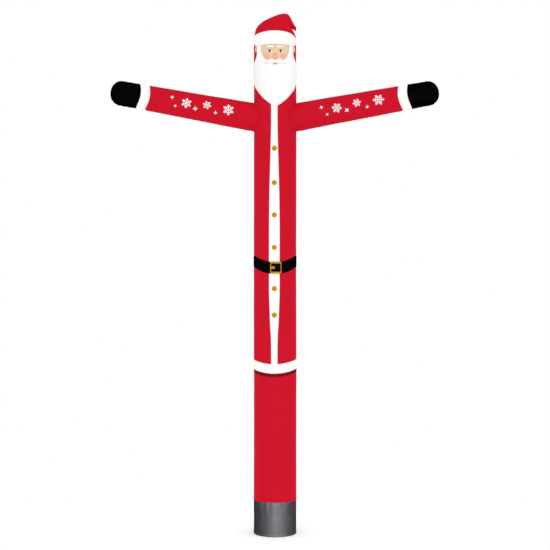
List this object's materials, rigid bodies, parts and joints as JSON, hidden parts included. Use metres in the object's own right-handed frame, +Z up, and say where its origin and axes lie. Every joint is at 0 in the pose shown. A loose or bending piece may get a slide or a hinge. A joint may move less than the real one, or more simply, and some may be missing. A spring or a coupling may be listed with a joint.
{
  "type": "inflatable air dancer",
  "caption": "Tall inflated cloth tube with two raised arms, sewn up as a bearded winter figure in a belted coat, leaning cap and round mitts, open at its foot for a blower.",
  "frame": {"origin": "centre of the open foot, on the ground it stands on", "axes": "+Z up along the tube, the figure faces -Y, +X to the right of someone looking at its front"},
  "size_m": [3.6341, 0.4712, 5.7284],
  "materials": {
    "red_cloth": "coated nylon, faint sheen",
    "grey_cloth": "coated nylon, faint sheen",
    "maroon_cloth": "coated nylon, matt",
    "white_cloth": "coated nylon, matt",
    "black_cloth": "coated nylon, matt",
    "gold_cloth": "satin",
    "skin_cloth": "coated nylon, matt"
  },
  "bodies": {
    "root": {"base_sleeve": "grey_cloth", "leg_tube": "red_cloth", "coat_skirt": "red_cloth", "coat_body": "red_cloth", "hat_crown": "red_cloth", "hat_band": "white_cloth", "face_panel": "skin_cloth", "beard": "white_cloth", "moustache": "white_cloth", "placket": "white_cloth", "button_1": "gold_cloth", "button_2": "gold_cloth", "button_3": "gold_cloth", "button_4": "gold_cloth", "button_5": "gold_cloth", "button_6": "gold_cloth", "belt": "black_cloth", "buckle": "gold_cloth", "hem_band": "white_cloth", "hem_strip": "maroon_cloth", "sleeve_left": "red_cloth", "sleeve_right": "red_cloth", "cuff_left": "white_cloth", "cuff_right": "white_cloth", "mitt_left": "black_cloth", "mitt_right": "black_cloth"}
  },
  "joints": []
}
